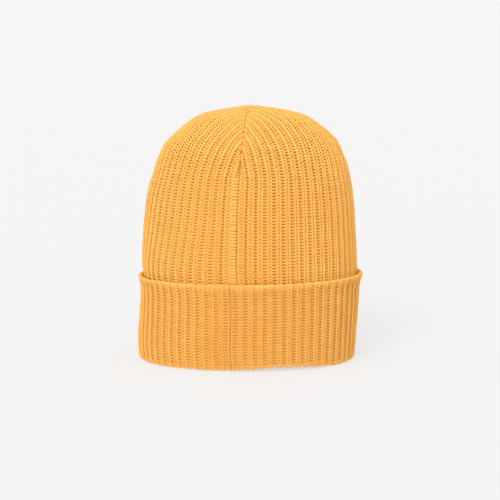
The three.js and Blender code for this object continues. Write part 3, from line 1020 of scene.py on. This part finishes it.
def cuff_way(body):
    """The way of the cuff's yarn, seen in section: down behind the hem, over it, down the face, round the
    fold and up inside the hat. Each step has its distance out from the crown's knit, its height in a part
    that follows the hem and a part that doesn't, and how far the knit has turned: 0 inside, 1 at the fold
    and 2 at the hem."""
    spacing, radius = body.shape.layer_spacing, body.knit.yarn_radius
    face = spacing + body.knit.yarn_lift
    fold = spacing / 2 + body.knit.yarn_lift
    low = fold + radius
    high = -radius - HEM_BEND
    down = np.linspace(HEM_BACK, 0, BACK_STEPS)[:-1]
    bend = np.linspace(math.pi, 0, BEND_STEPS)
    share = np.linspace(1, 0, FACE_STEPS)[1:-1]
    turn = np.linspace(0, math.pi, FOLD_STEPS)
    up = np.linspace(0, JOIN_HEIGHT - low, INSIDE_STEPS)[1:]
    runs = (
        (face - 2 * HEM_BEND, high - down, 1.0, 2.0),
        (face - HEM_BEND + HEM_BEND * np.cos(bend), high + HEM_BEND * np.sin(bend), 1.0, 2.0),
        (face, between(low, high, share), share, 1.0 + share),
        (spacing / 2 + fold * np.cos(turn), low - fold * np.sin(turn), 0.0, 1 - turn / math.pi),
        (spacing / 2 - fold, low + up, 0.0, 0.0),
    )
    return np.concatenate([np.stack(np.broadcast_arrays(*run), axis=1) for run in runs])


def cuff_points(body, steps, share):
    """Points of the cuff for steps in section and shares of the way round from its seam."""
    shape = body.shape
    out, level, climb, turned = (column[None, :] for column in steps.T)
    share = share[:, None]
    angle = 2 * math.pi * share + shape.seam_turn
    hem = body.hem + shape.hem_slope / 2 * np.sin(angle)
    level = level + climb * hem
    settled = 1 - smoothstep(level, 0.0, JOIN_HEIGHT)
    height = level + settled * body.fold_lift_at(angle)
    flare = shape.hem_flare * smoothstep(height, hem - FLARE_DEPTH, hem)
    turn = np.interp(turned, (0, 1, 2), (0.0, shape.fold_turn, shape.hem_turn))
    points = body.point(body.at_height(height), share, turn, out + flare)
    points[..., 2] = height
    return points


def knit_cuff_rows(scene):
    """The rows of the turned-up cuff from behind its hem to the inside of the hat, in two pieces."""
    body = Body(scene)
    knit = body.knit
    ribs = stitch_places(knit.ribs, 0.0, CUFF_SEAM_GAP)
    seam = np.minimum(ribs, knit.ribs - ribs)
    groove = body.shape.seam_groove * CUFF_GROOVE_SHARE * fade(seam / CUFF_GROOVE_REACH)
    cloth = Cloth(cuff_points(body, cuff_way(body), ribs / knit.ribs), -1)
    hem = cloth.lengths[:, HEM_STEP].mean()
    off_hem = np.abs(cloth.lengths - hem)
    cloth = cloth.moved(-groove[:, None] * smoothstep(off_hem, HEM_ROLL / 2, HEM_ROLL))
    end = cloth.lengths[:, -1].min() - knit.stitch_height
    lengths = [knit.stitch_height / 2]
    while lengths[-1] < end:
        share = smoothstep(abs(lengths[-1] - hem), HEM_ROLL / 2, HEM_ROW_REACH)
        lengths.append(lengths[-1] + knit.cuff_row * between(HEM_ROW_SHARE, 1, share))
    lengths = np.array(lengths)[:, None] + 0 * ribs
    rows = len(lengths)
    half = rows // 2
    for name, first, last in (("cuff_upper_rows", 0, half), ("cuff_lower_rows", half, rows)):
        past_hem = lengths[first:last] - hem
        relief = smoothstep(np.abs(past_hem), HEM_ROLL / 2, HEM_ROLL)
        shown = smoothstep(past_hem, -HEM_ROLL / 2, HEM_ROLL / 2)
        stitches = Stitches(knit, ribs, last - first, CUFF_SEED + first)
        stitches.radius = stitches.radius * between(HEM_YARN_SHARE, CUFF_YARN_SHARE, relief)
        stitches.up = stitches.up * between(HEM_CLIMB, 1, relief)
        stitches.into = stitches.into * CUFF_DEPTH_SHARE * between(HEM_RELIEF, 1, relief * shown)
        piece = lay_rows(name, cloth, stitches, lengths[first:last], ribs / knit.ribs)
        material = yarn_material(name, body.colours, knit.ribs, last - first, 0.0)
        dress(piece, "cuff", material)


def loop_faces(columns, rows, closed_up):
    """Quads of a grid that is closed round its columns and, if wanted, up its rows."""
    column, row = grid(columns, rows if closed_up else rows - 1)
    right, up = (column + 1) % columns, (row + 1) % rows
    return np.stack([column * rows + row, right * rows + row, right * rows + up, column * rows + up], axis=1)


def unwrapped(numbers, count):
    """Numbers at the corners of faces, with the count in place of 0 where a face closes the loop."""
    closing = np.ptp(numbers, axis=1, keepdims=True) > 1
    return np.where(closing & (numbers == 0), count, numbers)


def knit_cuff_wall(scene):
    """The cuff's wall behind its rows of yarn."""
    body = Body(scene)
    knit = body.knit
    columns = knit.ribs * WALL_COLUMNS
    ribs = np.arange(columns) / WALL_COLUMNS
    wave = np.where(ribs == 0, 1.0, furrow_wave(ribs))
    points = cuff_points(body, cuff_way(body)[::WALL_STEP], ribs / knit.ribs)
    cloth = Cloth(points, -1)
    past_hem = cloth.lengths - cloth.lengths[:, HEM_STEP // WALL_STEP, None]
    relief = smoothstep(np.abs(past_hem), HEM_ROLL / 2, HEM_ROLL)
    deep = (FURROW_WALL_DEPTH - WALL_DEPTH) * wave + CUFF_WALL_SINK + CUFF_SEAM_DEPTH * (ribs == 0)
    depth = WALL_DEPTH + deep[:, None] * between(HEM_RELIEF, 1, relief)
    depth = between(HEM_BACK_DEPTH, depth, smoothstep(past_hem, -HEM_ROLL / 2, 0.0))
    middle = body.shape.layer_spacing / 2
    low = middle + knit.yarn_lift + knit.yarn_radius
    back = np.array(
        [
            (middle - CUFF_WALL_GAP, JOIN_HEIGHT, 0.0, 0.0),
            (middle - CUFF_WALL_GAP, low, 0.0, 0.0),
            (middle + CUFF_WALL_GAP, low, 0.0, 1.0),
            (middle + CUFF_WALL_GAP, low, 0.5, 1.5),
            (middle + CUFF_WALL_GAP, -CUFF_WALL_BACK, 1.0, 2.0),
        ]
    )
    outside = points - cloth.normals * depth[..., None]
    points = np.concatenate([outside, cuff_points(body, back, ribs / knit.ribs)], axis=1)
    rows = points.shape[1]
    faces = loop_faces(columns, rows, True)[:, ::-1]
    column, row = unwrapped(faces // rows, columns), unwrapped(faces % rows, rows)
    marks = np.stack([column / columns, row / rows], axis=2)
    piece = build_mesh("cuff_wall", points.reshape(-1, 3), list(faces), list(marks))
    dress(piece, "cuff", wall_material("cuff_wall", body.colours, knit.ribs, rows, False))


def ring_marks(columns, across, up):
    """Marks of one face for each column. Across is where its corners are, in columns, and up is how high."""
    across = np.arange(columns)[:, None] + across
    return np.stack([across / columns, up + 0 * across], axis=2)


def knit_crown_wall(scene):
    """The crown's wall behind its rows of yarn, from inside the cuff to the top."""
    body = Body(scene)
    knit = body.knit
    columns, rows = knit.ribs * WALL_COLUMNS, WALL_ROWS
    low = body.length_at(body.at_height(JOIN_HEIGHT / 2))
    high = body.length_at(body.top - LAST_RING)
    places = body.place_at(np.linspace(low, high, rows))
    share = np.arange(columns)[:, None] / columns
    points = body.point(places, share)
    normals = Cloth(np.concatenate([points[-1:], points, points[:1]])).normals[1:-1]
    half_gore = body.half_gore_at(places)
    ribs = body.ribs_at(share, np.floor(share * DARTS), half_gore)
    off_seam = half_gore * (1 - np.abs(2 * (share * DARTS % 1) - 1))
    from_back = np.minimum(ribs, body.ribs - ribs)
    back_seam = np.where(from_back < body.ribs / DARTS / 2, off_seam, 1.0)
    before = ribs
    for _ in range(RIB_TRIES):
        before = ribs - moved_round(body, places, before)
    furrow = np.where(off_seam < SEAM_FURROW, 1.0, furrow_wave(rib_numbers(knit, before)))
    furrow = furrow * (1 - FLAT_SHARE * beside_seam(body, ribs))
    deeper = CLOSED_DEPTH * knit.furrow_depth * closing_at(body, places, from_back)
    depth = WALL_DEPTH + (FURROW_WALL_DEPTH - WALL_DEPTH + deeper) * furrow
    depth = depth * (1 - TIP_SHARE * fade((body.lengths[-1] - body.length_at(places)) / TIP_REACH))
    outer = knit.yarn_lift - depth - body.sunk_at(places, off_seam, back_seam)
    skins = [points + normals * lift[..., None] for lift in (outer, outer - WALL_THICKNESS)]
    summits = [skin[:, -1].mean(axis=0)[None] for skin in skins]
    points = np.concatenate([*(skin.reshape(-1, 3) for skin in skins), *summits])
    count = columns * rows
    left = np.arange(columns) * rows
    right = np.roll(left, -1)
    quads = loop_faces(columns, rows, False)
    column, row = unwrapped(quads // rows, columns), quads % rows
    across = body.ribs_at(column / columns, column[:, :1] * DARTS // columns, half_gore[row]) / body.ribs
    faces, marks = [], []
    for side, order in enumerate((slice(None), slice(None, None, -1))):
        first, low = side * count, side * INSIDE_LOW
        edge = first + rows - 1
        tips = np.stack([left + edge, right + edge, 0 * left + 2 * count + side], axis=1)
        tip_marks = ring_marks(columns, (0, 1, 0.5), np.array([SKIN_TOP, SKIN_TOP, TIP_TOP]) + low)
        skin_marks = np.stack([across, row / (rows - 1) * SKIN_TOP + low], axis=2)
        faces += [*(quads[:, order] + first), *tips[:, order]]
        marks += [*skin_marks[:, order], *tip_marks[:, order]]
    faces += list(np.stack([left, left + count, right + count, right], axis=1))
    marks += list(ring_marks(columns, (0, 0, 1, 1), (RIM_LOW, RIM_TOP, RIM_TOP, RIM_LOW)))
    piece = build_mesh("crown_wall", points, faces, marks)
    material = wall_material("crown_wall", body.colours, body.ribs, WALL_STITCHES, True)
    dress(piece, "crown", material)


def make_stage(stage):
    scene = bpy.context.scene
    mesh = bpy.data.meshes.new("floor")
    corners = [(FLOOR_REACH * x, FLOOR_REACH * y, 0) for x, y in ((-1, -1), (1, -1), (1, 1), (-1, 1))]
    mesh.from_pydata(corners, [], [(0, 1, 2, 3)])
    floor = add_object("floor", mesh)
    material = Material("floor").finish(
        {
            "Base Color": (*stage.floor_colour, 1.0),
            "Roughness": FLOOR_ROUGHNESS,
            "Specular IOR Level": FLOOR_GLOSS,
            "Emission Color": WHITE,
            "Emission Strength": stage.floor_glow,
        }
    )
    mesh.materials.append(material)
    world = bpy.data.worlds.new("sky")
    world.use_nodes = True
    background = world.node_tree.nodes["Background"]
    background.inputs["Color"].default_value = WHITE
    background.inputs["Strength"].default_value = stage.sky_light
    scene.world = world
    key = bpy.data.lights.new("key", "SUN")
    key.energy = stage.key_light
    key.angle = KEY_SPREAD
    add_object("key", key, KEY_TOWARDS)
    camera = bpy.data.cameras.new("camera")
    camera.lens = stage.view_lens
    camera.sensor_width = SENSOR_WIDTH
    camera.clip_end = VIEW_END
    back = Vector((0, -math.cos(stage.view_rise), math.sin(stage.view_rise)))
    place = VIEW_MIDDLE + stage.view_distance * back
    eye = add_object("camera", camera, place - VIEW_AIM)
    eye.location = place
    scene.camera = eye
    scene.view_settings.view_transform = "Standard"


class BEANIE_OT_crown_rows(bpy.types.Operator):
    """Knit the rows of the crown below the darts"""

    bl_idname = "beanie.crown_rows"
    bl_label = "Crown Rows"

    def execute(self, context):
        knit_crown_rows(context.scene)
        return {"FINISHED"}


class BEANIE_OT_gore_rows(bpy.types.Operator):
    """Knit the rows of the crown between the darts"""

    bl_idname = "beanie.gore_rows"
    bl_label = "Gore Rows"

    def execute(self, context):
        knit_gore_rows(context.scene)
        return {"FINISHED"}


class BEANIE_OT_cuff_rows(bpy.types.Operator):
    """Knit the rows of the turned-up cuff"""

    bl_idname = "beanie.cuff_rows"
    bl_label = "Cuff Rows"

    def execute(self, context):
        knit_cuff_rows(context.scene)
        return {"FINISHED"}


class BEANIE_OT_walls(bpy.types.Operator):
    """Make the ribbed walls behind the yarn of the crown and the cuff"""

    bl_idname = "beanie.walls"
    bl_label = "Walls"

    def execute(self, context):
        knit_crown_wall(context.scene)
        knit_cuff_wall(context.scene)
        return {"FINISHED"}


class BEANIE_OT_stage(bpy.types.Operator):
    """Make the floor, the light and the camera"""

    bl_idname = "beanie.stage"
    bl_label = "Stage"

    def execute(self, context):
        make_stage(context.scene.beanie_stage)
        return {"FINISHED"}


class BEANIE_PT_panel(bpy.types.Panel):
    """Lists the pieces of the beanie"""

    bl_idname = "BEANIE_PT_panel"
    bl_label = "Fisherman Beanie"
    bl_space_type = "VIEW_3D"
    bl_region_type = "UI"
    bl_category = "Beanie"

    def draw(self, context):
        for operator in OPERATORS:
            self.layout.operator(operator.bl_idname)


GROUPS = {
    "beanie_shape": BeanieShape,
    "beanie_knit": BeanieKnit,
    "beanie_colours": BeanieColours,
    "beanie_stage": BeanieStage,
}
OPERATORS = (
    BEANIE_OT_crown_rows,
    BEANIE_OT_gore_rows,
    BEANIE_OT_cuff_rows,
    BEANIE_OT_walls,
    BEANIE_OT_stage,
)


def register():
    for group in (*GROUPS.values(), *OPERATORS, BEANIE_PT_panel):
        bpy.utils.register_class(group)
    for name, group in GROUPS.items():
        setattr(bpy.types.Scene, name, PointerProperty(type=group))


def unregister():
    for name in GROUPS:
        delattr(bpy.types.Scene, name)
    for group in (BEANIE_PT_panel, *reversed(OPERATORS), *reversed(GROUPS.values())):
        bpy.utils.unregister_class(group)


def main():
    register()
    bpy.ops.beanie.crown_rows()
    bpy.ops.beanie.gore_rows()
    bpy.ops.beanie.cuff_rows()
    bpy.ops.beanie.walls()
    bpy.ops.beanie.stage()


if __name__ == "__main__":
    main()
